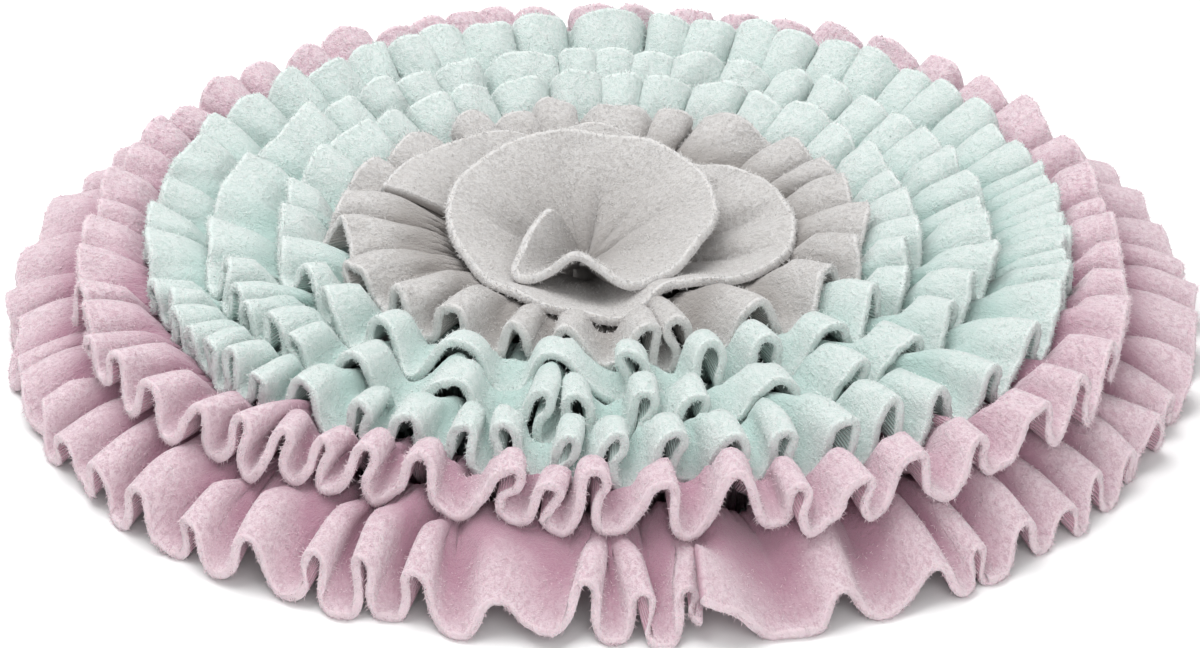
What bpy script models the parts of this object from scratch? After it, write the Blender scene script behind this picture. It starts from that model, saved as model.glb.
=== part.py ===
# Snuffle mat: gathered fleece frills sewn in rings on a round base cloth, with a spiral rosette
# in the middle. Metres and degrees, +Z up, the origin at the middle of the base's underside.
# Degrees run anticlockwise from +X, seen from above. Each frill is one straight strip, gathered
# along its sewn root, so its free edge waves up and down in folds.

import math
import random

import bmesh
import bpy
from mathutils import Vector

FLEECE = 0.0025          # thickness of the cloth
BASE_RADIUS = 0.153
BASE_SIDES = 60
ROOT_HEIGHT = 0.0046     # middle of a gathered root above the floor, just clear of the base
ROOT_FOLD = 0.12         # share of a fold's height that is left at the root
WALL_POINTS = (0.13, 0.87)   # where a fold's wall is read, as shares of its length
JITTER = 0.14            # how far a crest or valley strays, as a share of its fold

PINK = (0.78, 0.56, 0.65)
MINT = (0.70, 0.82, 0.78)
GREY = (0.66, 0.64, 0.63)
CANVAS = (0.60, 0.58, 0.56)

# Each frill: the radius of its root, the mean height of its free edge, how far its middle
# swells off the straight line from root to edge, the share of the folds' height that is left
# where the frills press on each other, where the strip starts and ends with the level there
# (1 is a crest, -1 a valley), and its runs of folds.
# Runs: the degree at which the run ends in a valley, how many folds it holds, their height,
# the place of the crest between its valleys (0 middle, 1 over the next, -1 over the last),
# and the radius of the free edge there.
FRILLS = {
    "frill_pink_outer": {
        "colour": PINK, "seed": 11,
        "root_radius": 0.149, "edge_height": 0.0062, "swell": 0.0086, "press": 1.00,
        "start": (280.9, 1.0), "end": (640.3, 0.2),
        "runs": (
            (287.1, 0.5, 0.0135, 0.0, 0.194),
            (294.3, 1, 0.0110, 0.0, 0.196),
            (302.4, 1, 0.0120, 0.35, 0.195),
            (305.6, 1, 0.0120, 0.60, 0.195),
            (312.2, 1, 0.0120, 0.10, 0.195),
            (324.9, 2, 0.0125, 0.30, 0.193),
            (352.0, 4, 0.0130, 0.55, 0.191),
            (392.0, 6, 0.0130, 0.60, 0.190),
            (440.0, 7, 0.0130, 0.35, 0.189),
            (500.0, 9, 0.0130, -0.10, 0.188),
            (545.0, 7, 0.0130, -0.30, 0.189),
            (554.0, 1, 0.0110, -0.20, 0.190),
            (576.4, 4, 0.0125, -0.35, 0.190),
            (582.3, 1, 0.0125, -0.25, 0.190),
            (589.7, 1, 0.0125, 0.15, 0.189),
            (595.4, 1, 0.0125, 0.25, 0.190),
            (602.6, 1, 0.0130, 0.10, 0.189),
            (607.5, 1, 0.0130, 0.15, 0.187),
            (611.6, 1, 0.0130, 0.20, 0.187),
            (617.7, 1, 0.0130, -0.50, 0.190),
            (625.8, 1, 0.0060, -0.20, 0.191),
            (631.3, 1, 0.0125, 0.15, 0.189),
            (635.3, 1, 0.0130, 0.35, 0.190),
            (639.6, 0.5, 0.0130, 0.0, 0.190),
        ),
    },
    "frill_pink_inner": {
        "colour": PINK, "seed": 12,
        "root_radius": 0.131, "edge_height": 0.0284, "swell": 0.0, "press": 0.88,
        "start": (95.0, -1.0), "end": (453.8, -1.0),
        "runs": (
            (150.0, 9, 0.0135, -0.15, 0.164),
            (190.0, 6, 0.0135, -0.25, 0.165),
            (208.0, 3, 0.0135, -0.35, 0.169),
            (215.1, 1, 0.0140, -0.20, 0.170),
            (222.2, 1, 0.0145, 0.10, 0.169),
            (228.1, 1, 0.0140, 0.05, 0.167),
            (232.4, 1, 0.0140, 0.10, 0.165),
            (241.3, 2, 0.0140, 0.30, 0.162),
            (246.9, 1, 0.0140, 0.35, 0.159),
            (255.0, 1, 0.0145, 0.00, 0.159),
            (261.1, 1, 0.0140, 0.70, 0.161),
            (271.2, 2, 0.0140, 0.50, 0.163),
            (278.3, 1, 0.0140, 0.35, 0.165),
            (287.4, 1, 0.0150, 0.15, 0.169),
            (290.4, 1, 0.0130, 0.55, 0.173),
            (296.6, 1, 0.0140, 0.70, 0.175),
            (303.9, 1, 0.0140, 0.45, 0.175),
            (311.4, 1, 0.0145, 0.45, 0.175),
            (317.8, 1, 0.0140, 0.60, 0.174),
            (329.0, 2, 0.0140, 0.30, 0.172),
            (352.0, 3, 0.0135, 0.50, 0.169),
            (390.0, 6, 0.0135, 0.50, 0.166),
            (453.8, 10, 0.0135, 0.20, 0.164),
        ),
    },
    "frill_mint_outer": {
        "colour": MINT, "seed": 13,
        "root_radius": 0.112, "edge_height": 0.0309, "swell": 0.0, "press": 0.75,
        "start": (60.0, -1.0), "end": (418.8, -1.0),
        "runs": (
            (120.0, 9, 0.0130, 0.10, 0.146),
            (165.0, 7, 0.0130, -0.10, 0.144),
            (176.0, 1, 0.0130, -0.20, 0.144),
            (190.0, 1, 0.0130, -0.10, 0.143),
            (222.5, 6, 0.0130, -0.20, 0.142),
            (227.2, 1, 0.0130, 0.00, 0.141),
            (236.9, 1, 0.0150, -0.30, 0.140),
            (250.0, 2, 0.0140, 0.10, 0.140),
            (263.0, 2, 0.0140, 0.20, 0.141),
            (266.9, 1, 0.0140, 0.50, 0.143),
            (279.7, 2, 0.0140, 0.60, 0.145),
            (288.0, 1, 0.0140, 0.40, 0.148),
            (292.6, 1, 0.0140, 0.50, 0.150),
            (306.0, 2, 0.0140, 0.60, 0.152),
            (314.8, 1, 0.0145, 0.20, 0.152),
            (328.0, 2, 0.0140, 0.40, 0.151),
            (350.0, 2, 0.0130, 0.50, 0.149),
            (376.0, 7, 0.0110, 0.80, 0.148),
            (418.8, 7, 0.0125, 0.30, 0.147),
        ),
    },
    "frill_mint_middle": {
        "colour": MINT, "seed": 14,
        "root_radius": 0.088, "edge_height": 0.0322, "swell": 0.0, "press": 0.96,
        "start": (53.0, -0.4), "end": (411.4, -1.0),
        "runs": (
            (96.0, 5, 0.0130, 0.10, 0.121),
            (140.0, 5, 0.0130, 0.00, 0.121),
            (160.0, 1, 0.0140, 0.10, 0.122),
            (180.0, 1, 0.0140, -0.10, 0.122),
            (200.0, 1, 0.0140, -0.10, 0.122),
            (226.0, 4, 0.0130, -0.20, 0.121),
            (240.0, 1, 0.0145, 0.00, 0.120),
            (254.0, 1, 0.0145, 0.10, 0.120),
            (264.0, 1, 0.0145, 0.30, 0.121),
            (271.0, 1, 0.0140, 0.10, 0.122),
            (284.0, 1, 0.0145, 0.40, 0.123),
            (300.0, 1, 0.0145, 0.50, 0.124),
            (322.0, 2, 0.0140, 0.40, 0.124),
            (360.0, 4, 0.0135, 0.45, 0.123),
            (411.4, 7, 0.0130, 0.30, 0.122),
        ),
    },
    "frill_mint_inner": {
        "colour": MINT, "seed": 15,
        "root_radius": 0.066, "edge_height": 0.0332, "swell": 0.0, "press": 0.92,
        "start": (30.0, -0.4), "end": (388.0, -1.0),
        "runs": (
            (90.0, 6, 0.0120, 0.10, 0.100),
            (140.0, 4, 0.0120, 0.00, 0.100),
            (168.0, 2, 0.0120, -0.10, 0.100),
            (200.0, 3, 0.0120, -0.20, 0.100),
            (236.0, 3, 0.0130, -0.10, 0.099),
            (256.0, 1, 0.0140, 0.20, 0.099),
            (270.0, 1, 0.0130, 0.10, 0.099),
            (282.0, 1, 0.0130, 0.20, 0.100),
            (304.0, 2, 0.0130, 0.30, 0.101),
            (330.0, 2, 0.0130, 0.50, 0.101),
            (388.0, 5, 0.0120, 0.40, 0.100),
        ),
    },
    "frill_grey_outer": {
        "colour": GREY, "seed": 16,
        "root_radius": 0.050, "edge_height": 0.0336, "swell": 0.0, "press": 0.73,
        "start": (120.0, -1.0), "end": (477.0, -1.0),
        "runs": (
            (146.0, 1, 0.0120, 0.00, 0.082),
            (170.0, 1, 0.0120, -0.10, 0.082),
            (216.0, 3, 0.0120, -0.20, 0.082),
            (246.0, 2, 0.0130, 0.10, 0.081),
            (266.0, 1, 0.0130, 0.20, 0.081),
            (281.0, 1, 0.0130, 0.30, 0.082),
            (290.0, 1, 0.0130, 0.40, 0.083),
            (314.0, 1, 0.0130, 0.30, 0.083),
            (336.0, 1, 0.0130, 0.30, 0.083),
            (378.0, 2, 0.0120, 0.30, 0.082),
            (477.0, 6, 0.0120, 0.10, 0.082),
        ),
    },
}

# The rosette: one strip wound from its inner end outwards. Stations along it: the degree and
# radius of the free edge about the rosette's own middle, its height, and the root's radius.
ROSETTE_MIDDLE = (-0.005, 0.0)
ROSETTE = (
    (200.0, 0.010, 0.0410, 0.0030),
    (228.0, 0.026, 0.0385, 0.0043),
    (244.0, 0.044, 0.0370, 0.0055),
    (256.0, 0.040, 0.0395, 0.0068),
    (266.0, 0.035, 0.0430, 0.0080),
    (278.0, 0.041, 0.0395, 0.0093),
    (288.0, 0.047, 0.0360, 0.0105),
    (300.0, 0.045, 0.0365, 0.0118),
    (320.0, 0.043, 0.0380, 0.0124),
    (345.0, 0.042, 0.0400, 0.0130),
    (378.0, 0.042, 0.0415, 0.0143),
    (410.0, 0.043, 0.0435, 0.0155),
    (450.0, 0.043, 0.0450, 0.0168),
    (485.0, 0.043, 0.0440, 0.0180),
    (515.0, 0.042, 0.0420, 0.0192),
    (545.0, 0.042, 0.0400, 0.0205),
    (575.0, 0.045, 0.0380, 0.0218),
    (600.0, 0.051, 0.0355, 0.0230),
    (622.0, 0.0560, 0.0330, 0.0243),
    (637.0, 0.0560, 0.0340, 0.0249),
    (652.0, 0.0570, 0.0330, 0.0255),
    (672.0, 0.0590, 0.0325, 0.0261),
    (694.0, 0.0660, 0.0335, 0.0267),
    (712.0, 0.0670, 0.0350, 0.0274),
    (736.0, 0.0660, 0.0360, 0.0280),
    (757.0, 0.0620, 0.0350, 0.0286),
    (772.0, 0.0560, 0.0320, 0.0293),
    (790.0, 0.0600, 0.0350, 0.0299),
    (812.0, 0.0620, 0.0375, 0.0305),
    (822.0, 0.0600, 0.0335, 0.0309),
    (834.0, 0.0650, 0.0370, 0.0313),
    (850.0, 0.0660, 0.0375, 0.0318),
    (872.0, 0.0670, 0.0375, 0.0324),
    (882.0, 0.0670, 0.0370, 0.0330),
)
ROSETTE_ROOT_HEIGHT = 0.0037
ROSETTE_PITCH = 7.5      # degrees between the columns of the rosette's solid


def clear_scene():
    for obj in list(bpy.data.objects):
        bpy.data.objects.remove(obj, do_unlink=True)


def fleece_material(name, colour):
    material = bpy.data.materials.new(name)
    material.use_nodes = True
    shader = material.node_tree.nodes["Principled BSDF"]
    shader.inputs["Base Color"].default_value = (*colour, 1.0)
    shader.inputs["Roughness"].default_value = 0.95
    shader.inputs["Metallic"].default_value = 0.0
    return material


def fold_nodes(frill):
    """Crests and valleys along the free edge: (degree, height off the mean, edge radius)."""
    rng = random.Random(frill["seed"])
    at, level = frill["start"]
    first = frill["runs"][0]
    nodes = [(at, level * first[2] / 2, first[4])]
    for to_deg, folds, height, lean, radius in frill["runs"]:
        if folds == 0.5:
            turn = 1.0 if nodes[-1][1] < 0 else -1.0
            nodes.append((to_deg, turn * height / 2, radius))
            at = to_deg
            continue
        width = (to_deg - at) / folds
        stray = JITTER * width if folds > 1 else 0.0
        for k in range(folds):
            crest = at + width * (k + 0.5 + lean / 2) + stray * rng.uniform(-0.5, 0.5)
            last = k == folds - 1
            valley = at + width * (k + 1) + (0.0 if last else stray * rng.uniform(-1, 1))
            rise = height * (1 + 0.12 * rng.uniform(-1, 1))
            nodes.append((crest, rise / 2, radius + 0.001 * rng.uniform(-1, 1)))
            nodes.append((valley, -height / 2, radius + 0.001 * rng.uniform(-1, 1)))
        at = to_deg
    if frill["end"][0] > at:
        nodes.append((frill["end"][0], frill["end"][1] * height / 2, radius))
    return nodes


def bend_of(run, rise):
    """The bend of a wall that travels run while it rises by rise: its steepest angle."""
    low, high = 0.01, 2.6
    for _ in range(40):
        middle = (low + high) / 2
        across, up = wall_integral(middle, 1.0)
        if across * rise > up * run:
            low = middle
        else:
            high = middle
    return low


def wall_integral(bend, share):
    """How far a wall of length 1 has gone across and up at this share of its length."""
    steps = 24
    across = up = 0.0
    for k in range(steps):
        angle = bend * math.sin(math.pi * share * (k + 0.5) / steps)
        across += math.cos(angle)
        up += math.sin(angle)
    return across * share / steps, up * share / steps


def edge_columns(nodes):
    """Points that each wall has between its valley and its crest, and the strip's two ends."""
    columns = [nodes[0]]
    for (deg_a, up_a, r_a), (deg_b, up_b, r_b) in zip(nodes, nodes[1:]):
        run = math.radians(deg_b - deg_a) * (r_a + r_b) / 2
        rise = abs(up_b - up_a)
        bend = bend_of(run, rise)
        length = rise / wall_integral(bend, 1.0)[1]
        for share in WALL_POINTS:
            across, up = wall_integral(bend, share)
            deg = deg_a + math.degrees(across * length / ((r_a + r_b) / 2))
            columns.append((deg, up_a + (up_b - up_a) * up * length / rise,
                            r_a + (r_b - r_a) * share))
    columns.append(nodes[-1])
    return columns


def frill_point(frill, column, along):
    """A point of the strip's middle surface, along = 0 at the root and 1 at the free edge."""
    deg, up, edge_radius = column
    root, reach = frill["root_radius"], edge_radius - frill["root_radius"]
    climb = frill["edge_height"] - ROOT_HEIGHT
    radius = root + reach * along
    height = ROOT_HEIGHT + climb * along + 4 * frill["swell"] * along * (1 - along)
    slope = math.atan2(climb + 4 * frill["swell"] * (1 - 2 * along), reach)
    fold = up * frill["press"] * (ROOT_FOLD + (1 - ROOT_FOLD) * along)
    radius -= fold * math.sin(slope)
    height += fold * math.cos(slope)
    turn = math.radians(deg)
    return Vector((radius * math.cos(turn), radius * math.sin(turn), height))


def thick_sheet(name, rows, material):
    """A closed sheet of fleece on a grid of points, a list of columns from root to edge."""
    mesh = bpy.data.meshes.new(name)
    shape = bmesh.new()
    grid = [[shape.verts.new(point) for point in row] for row in rows]
    for left, right in zip(grid, grid[1:]):
        for k in range(len(left) - 1):
            shape.faces.new((left[k], left[k + 1], right[k + 1], right[k]))
    bmesh.ops.recalc_face_normals(shape, faces=shape.faces)
    shape.to_mesh(mesh)
    shape.free()
    mesh.shade_smooth()
    mesh.materials.append(material)
    obj = bpy.data.objects.new(name, mesh)
    bpy.context.collection.objects.link(obj)
    solid = obj.modifiers.new("fleece thickness", "SOLIDIFY")
    solid.thickness = FLEECE
    solid.offset = 0.0
    solid.use_even_offset = True
    solid.thickness_clamp = 1.6
    return obj


def make_frill(name, frill):
    steps = 2 if frill["swell"] else 1
    rows = [
        [frill_point(frill, column, k / steps) for k in range(steps + 1)]
        for column in edge_columns(fold_nodes(frill))
    ]
    return thick_sheet(name, rows, fleece_material(name + "_fleece", frill["colour"]))


def station_at(deg):
    """The rosette's free edge and root at this degree, read smoothly between its stations."""
    for k in range(len(ROSETTE) - 1):
        if deg <= ROSETTE[k + 1][0]:
            break
    before, after = ROSETTE[max(k - 1, 0)], ROSETTE[min(k + 2, len(ROSETTE) - 1)]
    low, high = ROSETTE[k], ROSETTE[k + 1]
    t = (deg - low[0]) / (high[0] - low[0])
    values = []
    for c in (1, 2, 3):
        rise_low = (high[c] - before[c]) / (high[0] - before[0]) * (high[0] - low[0])
        rise_high = (after[c] - low[c]) / (after[0] - low[0]) * (high[0] - low[0])
        values.append(
            low[c] * (2 * t**3 - 3 * t**2 + 1) + rise_low * (t**3 - 2 * t**2 + t)
            + high[c] * (3 * t**2 - 2 * t**3) + rise_high * (t**3 - t**2)
        )
    return values


def make_rosette():
    name = "rosette_grey"
    start, end = ROSETTE[0][0], ROSETTE[-1][0]
    count = round((end - start) / ROSETTE_PITCH)
    rows = []
    for k in range(count + 1):
        deg = start + (end - start) * k / count
        radius, height, root = station_at(deg)
        turn = math.radians(deg)
        out = Vector((math.cos(turn), math.sin(turn), 0.0))
        middle = Vector((*ROSETTE_MIDDLE, 0.0))
        rows.append([
            middle + out * root + Vector((0, 0, ROSETTE_ROOT_HEIGHT)),
            middle + out * radius + Vector((0, 0, height)),
        ])
    return thick_sheet(name, rows, fleece_material(name + "_fleece", GREY))


def make_base():
    bpy.ops.mesh.primitive_cylinder_add(
        vertices=BASE_SIDES, radius=BASE_RADIUS, depth=FLEECE, location=(0, 0, FLEECE / 2)
    )
    base = bpy.context.object
    base.name = base.data.name = "base_cloth"
    base.data.materials.append(fleece_material("base_cloth_fleece", CANVAS))
    return base


clear_scene()
make_base()
for frill_name, frill_sizes in FRILLS.items():
    make_frill(frill_name, frill_sizes)
make_rosette()
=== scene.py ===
# Snuffle mat: fleece frills, rosette and base cloth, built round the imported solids.
# Metres, +Z up, degrees run anticlockwise from +X as seen from above.
import math
import random

import bpy
import numpy as np
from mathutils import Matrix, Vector


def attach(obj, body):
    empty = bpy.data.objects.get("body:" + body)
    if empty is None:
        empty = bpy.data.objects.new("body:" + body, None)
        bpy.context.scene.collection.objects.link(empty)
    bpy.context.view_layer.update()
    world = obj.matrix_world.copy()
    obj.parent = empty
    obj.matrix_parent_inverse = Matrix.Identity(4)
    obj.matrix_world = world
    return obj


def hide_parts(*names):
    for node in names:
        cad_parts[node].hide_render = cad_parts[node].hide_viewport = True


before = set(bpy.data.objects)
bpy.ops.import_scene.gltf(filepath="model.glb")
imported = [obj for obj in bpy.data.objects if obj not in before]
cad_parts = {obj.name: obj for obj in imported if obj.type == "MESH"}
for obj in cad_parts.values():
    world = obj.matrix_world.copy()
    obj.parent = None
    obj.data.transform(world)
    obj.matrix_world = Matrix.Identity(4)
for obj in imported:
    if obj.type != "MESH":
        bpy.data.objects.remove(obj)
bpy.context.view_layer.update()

print("frame loaded:", len(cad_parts), "solids")

# the cloth and how finely it is drawn
fleece = {
    "thickness": 0.0029,
    "columnStep": 0.0014,      # along the free edge
    "acrossPoints": 15,        # from the sewn root to the free edge
    "rimAngles": (22, 50, 90, 130, 158),
    "rimSquare": 0.85,         # 0 a half round cut edge, 1 a square one
    "ragged": 0.10,            # unevenness of the cut edge, of half the thickness
    "rootHeight": 0.0046,
    "clearance": 0.0004,       # between a row and the one under it
}

# how every frill's folds are laid
laying = {
    "foldStray": 0.20,         # how far folds of a run stray from even widths
    "riseStray": 0.16,         # crests and valleys stray from the run's height
    "dropStray": 0.10,
    "edgeStray": 0.0012,       # and from its radius
    "leastWall": 0.0004,       # height of the lowest wall from a valley to a crest
    "flatCrest": 1.3,          # how much a low fullness flattens the crests as well
    "growth": 1.5,             # above 1 a fold rises late on its way out
    "openFrom": 0.12,          # folds fan out to their places from here, 0 root to 1 edge
    "openOver": 0.68,          # and over this much of the width
    # size, how far along the strip it turns back, what it adds to the seed, number of waves
    "rootSkew": (1.6, 0.07, 50, 5),    # the root wanders round the mat, in degrees
    "edgeWander": (0.0013, 0.05, 60, 4),    # the free edge wanders out or in
    "sag": (0.0008, 0.06, 65, 4),    # and up or down
    "gatherSway": (1.3, 0.05, 80, 4),    # the small pleats shift along
    "dentSeed": 70,
    "dentShare": (0.3, 0.7),   # depth of the dents at the root, and what the edge adds
    "tilt": (0.25, 0.9),       # least and most that a fold leans inwards, in radians
    "gatherPitch": 0.0052,     # small pleats where the stitching draws the root in
    "gatherHeight": 0.0013,
    "gatherReach": 0.42,
    "gatherFade": 1.5,
    "lap": 0.014,              # a raised start of a strip comes down over this length
}

# painted shade: the pile colour darkened down in the folds and towards the root, where the row
# above shades it
paintedShading = {"depth": 0.85, "rimFade": 9, "rootFrom": 0.82, "rootOver": 0.5}


def foldNodes(frill):
    # crests and valleys along the free edge: degree, height off the mean, edge radius. In front
    # the crests stand back from the edge of the valleys by the lobe, at the sides they stand out
    # past it by the step
    rng = random.Random(frill["seed"])

    def lobeAt(deg):
        angle = math.radians(deg)
        return frill["lobe"] * max(0.0, -math.sin(angle)) - frill["step"] * abs(math.cos(angle))

    at, level = frill["start"]
    first = frill["runs"][0]
    nodes = [(at, level * first[2] / 2, first[4])]
    for toDeg, folds, height, lean, radius in frill["runs"]:
        if folds == 0.5:
            turn = 1.0 if nodes[-1][1] < 0 else -1.0
            nodes.append((toDeg, turn * height / 2, radius - max(0, turn) * lobeAt(toDeg)))
            at = toDeg
            continue
        width = (toDeg - at) / folds
        stray = laying["foldStray"] * width if folds > 1 else 0.0
        for k in range(folds):
            crest = at + width * (k + 0.5 + lean / 2) + stray * rng.uniform(-0.5, 0.5)
            last = k == folds - 1
            valley = at + width * (k + 1) + (0.0 if last else stray * rng.uniform(-1, 1))
            rise = height * (1 + laying["riseStray"] * rng.uniform(-1, 1))
            drop = height * (1 + laying["dropStray"] * rng.uniform(-1, 1))
            drawnIn = radius - lobeAt(crest)
            nodes.append((crest, rise / 2, drawnIn + laying["edgeStray"] * rng.uniform(-1, 1)))
            nodes.append((valley, -drop / 2, radius + laying["edgeStray"] * rng.uniform(-1, 1)))
        at = toDeg
    if frill["end"][0] > at:
        nodes.append((frill["end"][0], frill["end"][1] * height / 2, radius))
    return nodes


wallSteps = {"table": 200, "bends": (0.01, 2.6, 300), "fine": 8, "least": 4}
wallTables = {}


def wallTable(full):
    # for each bend, how far a wall of length 1 goes across and up
    if full not in wallTables:
        steps = (np.arange(wallSteps["table"]) + 0.5) / wallSteps["table"]
        bends = np.linspace(*wallSteps["bends"])
        angle = bends[:, None] * wallTurn(steps, full)[None, :]
        wallTables[full] = bends, np.cos(angle).mean(1), np.sin(angle).mean(1)
    return wallTables[full]


def wallTurn(t, full):
    # how far a wall has turned along its length: full below 1 gives broad, flat crests and
    # narrow valleys, above 1 broad round valleys and narrow crests
    if full <= 1:
        return np.sin(math.pi * t ** full) ** (1 + laying["flatCrest"] * (1 - full))
    steepest = 0.5 ** (1 / full)
    return np.sin(math.pi / 2 * np.minimum(t / steepest, (1 - t) / (1 - steepest)))


def wallPoints(run, rise, full):
    # the wall from a valley to a crest, how far across and up in metres, how far up it is
    # inside the frill, where folds lie side by side as tubes do, and its length
    full = round(full, 2)
    bends, across, up = wallTable(full)
    bend = float(np.interp(-run / rise, -across / up, bends))
    length = rise / float(np.interp(bend, bends, up))
    count = max(wallSteps["least"], round(length / fleece["columnStep"]))
    fine = wallSteps["fine"]
    t = (np.arange(count * fine) + 0.5) / (count * fine)
    angle = bend * wallTurn(t, full)
    across = np.concatenate([[0], np.cumsum(np.cos(angle))])[::fine]
    up = np.concatenate([[0], np.cumsum(np.sin(angle))])[::fine]
    scale = rise / up[-1]
    shares = np.linspace(0, 1, count + 1)
    inside = rise * np.sin(math.pi / 2 * shares)
    return across * scale, up * scale, inside, length


def aroundAt(frill, degrees, column):
    # a column of the frill's table round the mat, read at these degrees
    table = np.array(frill["around"])
    return np.interp(np.asarray(degrees) % 360, table[:, 0], table[:, column], period=360)


def edgeColumns(frill, nodes):
    # columns along the free edge: degree, height, radius, length so far, height inside. Then the
    # degree of each at the root, where the length is spread evenly from valley to valley
    parts, marks = [], []
    length = 0.0
    for k, ((degA, upA, rA), (degB, upB, rB)) in enumerate(zip(nodes, nodes[1:])):
        middle = (rA + rB) / 2
        full = float(aroundAt(frill, (degA + degB) / 2, 4))
        run = math.radians(degB - degA) * middle
        across, up, inside, wall = wallPoints(run, max(abs(upB - upA), laying["leastWall"]), full)
        if upB < upA:
            across, up, inside = (side[-1] - side[::-1] for side in (across, up, inside))
            up, inside = -up, -inside
        if upA <= 0 or k == 0:
            marks.append((length, degA))
        even = np.linspace(0, 1, len(across))
        parts.append(np.stack([
            degA + np.degrees(across / middle),
            upA + up,
            middle - (rB - rA) * np.cos(math.pi * even) / 2,
            length + wall * even,
            upA + inside,
        ], axis=1)[:-1 if k < len(nodes) - 2 else None])
        length += wall
    marks.append((length, nodes[-1][0]))
    columns = np.concatenate(parts)
    root = np.interp(columns[:, 3], *zip(*marks))
    return columns, root


waveSpread = (0.6, 1.9)


def wander(frill, kind, length):
    # a smooth random curve along the strip
    size, wave, shift, count = laying[kind]
    rng = random.Random(frill["seed"] + shift)
    total = 0.0
    for _ in range(count):
        pitch = wave * rng.uniform(*waveSpread)
        phase = rng.uniform(0, math.tau)
        total = total + np.sin(math.tau * length / pitch + phase)
    return size * (total / math.sqrt(count))


# shallow dents and swellings of the cloth: waves that run slanting over the strip
dents = {
    "waves": 9, "pitch": 0.009, "longest": 3.2, "slant": 0.7, "turn": 6.3,
    "depth": 0.00035, "even": 1.5,
}


def softDents(seed, length, across):
    rng = random.Random(seed)
    total = 0.0
    for _ in range(dents["waves"]):
        pitch = dents["pitch"] * rng.uniform(1.0, dents["longest"])
        slant = dents["slant"] * rng.uniform(-1, 1) / pitch
        phase = rng.uniform(0, dents["turn"])
        total = total + np.sin(math.tau * (length / pitch + across * slant) + phase)
    return dents["depth"] * total / dents["even"]


def smoothStep(x):
    return x * x * (3 - 2 * x)


def frillGrid(frill):
    # the middle surface of the strip as [column, from root to edge, xyz], and its lengths
    columns, even = edgeColumns(frill, foldNodes(frill))
    deg, up, edgeRadius, length, inside = (columns[:, k][:, None] for k in range(5))
    even = even[:, None]
    a = np.linspace(0, 1, fleece["acrossPoints"])[None, :]
    near = smoothStep(np.clip((a - laying["openFrom"]) / laying["openOver"], 0, 1))
    kinds = ("rootSkew", "edgeWander", "sag", "gatherSway")
    skew, stray, sag, sway = (wander(frill, kind, length) for kind in kinds)
    turn = np.radians(even + (deg - even) * near + skew * (1 - a))
    root = frill["rootRadius"]
    raised, outward, swell = (aroundAt(frill, even, k) for k in (1, 2, 3))
    reach = edgeRadius + outward + stray - root
    climb = frill["edgeHeight"] + raised + sag - fleece["rootHeight"]
    early = frill["early"]
    most = (early / (1 + early)) ** early / (1 + early)
    bulge = a ** early * (1 - a) / most
    radius = root + reach * a
    height = fleece["rootHeight"] + climb * a + swell * bulge
    rise = climb + swell * np.gradient(bulge[0], a[0])[None, :]
    slope = np.clip(np.arctan2(rise, reach), *laying["tilt"])
    share = frill["rootFold"] + (1 - frill["rootFold"]) * a ** laying["growth"]
    up = inside + (up - inside) * near
    atRoot, more = laying["dentShare"]
    dent = softDents(frill["seed"] + laying["dentSeed"], length, reach * a)
    fold = up * share + dent * (atRoot + more * a)
    gather = np.clip(1 - a / laying["gatherReach"], 0, 1) ** laying["gatherFade"]
    fold = fold + laying["gatherHeight"] * gather * np.sin(
        math.tau * length / laying["gatherPitch"] + sway)
    lap = np.clip(1 - length / laying["lap"], 0, 1) ** 2 * frill.get("startLift", 0.0)
    radius = radius - fold * np.sin(slope)
    height = height + fold * np.cos(slope) + lap
    grid = np.stack([radius * np.cos(turn), radius * np.sin(turn), height], axis=2)
    tall = np.interp(deg, [run[0] for run in frill["runs"]], [run[2] for run in frill["runs"]])
    # painted shade: darker down in each valley, fading out near the free edge, and full towards the
    # root
    paintedShade = np.clip(0.5 - up / tall, 0, 1) * (1 - a ** paintedShading["rimFade"])
    rootward = np.clip((paintedShading["rootFrom"] - a) / paintedShading["rootOver"], 0, 1)
    paintedShade = np.clip(paintedShading["depth"] * paintedShade + smoothStep(rootward), 0, 1)
    return grid, columns[:, 3], paintedShade


# the lowest point of the rows made so far, on a grid of distance from the middle and of angle
under = {
    "ringStep": 0.001, "rings": 215, "spokes": 1080, "empty": 1.0,
    "faceSteps": (3, 4),       # places marked along and across each face of the cloth
    "spokeReach": 10,          # how many spokes to either side can press on a row
    "soft": 0.0006,            # how softly a row gives way to the one over it
    "smooth": ((0, 2), (1, 1)),    # over 2 columns along the strip, 1 point across it
}
underHeights = np.full((under["rings"], under["spokes"]), under["empty"])


def polarPlace(points):
    ring = np.hypot(points[..., 0], points[..., 1]) / under["ringStep"]
    spoke = (np.degrees(np.arctan2(points[..., 1], points[..., 0])) % 360) * under["spokes"] / 360
    return ring, spoke


def addToUnder(grid):
    # spread each face's corners over the cells that it covers
    alongSteps, acrossSteps = under["faceSteps"]
    for i in np.linspace(0, 1, alongSteps):
        for j in np.linspace(0, 1, acrossSteps):
            row = grid[:, :-1] * (1 - j) + grid[:, 1:] * j
            spot = row[:-1] * (1 - i) + row[1:] * i
            ring, spoke = polarPlace(spot)
            ring = np.clip(np.round(ring).astype(int), 0, under["rings"] - 1)
            spoke = np.round(spoke).astype(int) % under["spokes"]
            np.minimum.at(underHeights, (ring, spoke), spot[..., 2])


def loweredUnder(gap):
    # the surface a gap below the rows made so far, as a ball of that radius rolls under them
    best = np.full_like(underHeights, under["empty"])
    reach = int(gap / under["ringStep"])
    rings = np.arange(under["rings"])[:, None]
    for dr in range(-reach, reach + 1):
        moved = np.roll(underHeights, dr, axis=0)
        for ds in range(-under["spokeReach"], under["spokeReach"] + 1):
            across = math.radians(ds * 360 / under["spokes"]) * rings * under["ringStep"]
            away = (dr * under["ringStep"]) ** 2 + across ** 2
            drop = np.where(away < gap * gap, np.sqrt(np.maximum(gap * gap - away, 0)), -np.inf)
            best = np.minimum(best, np.roll(moved, ds, axis=1) - drop)
    return best


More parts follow.
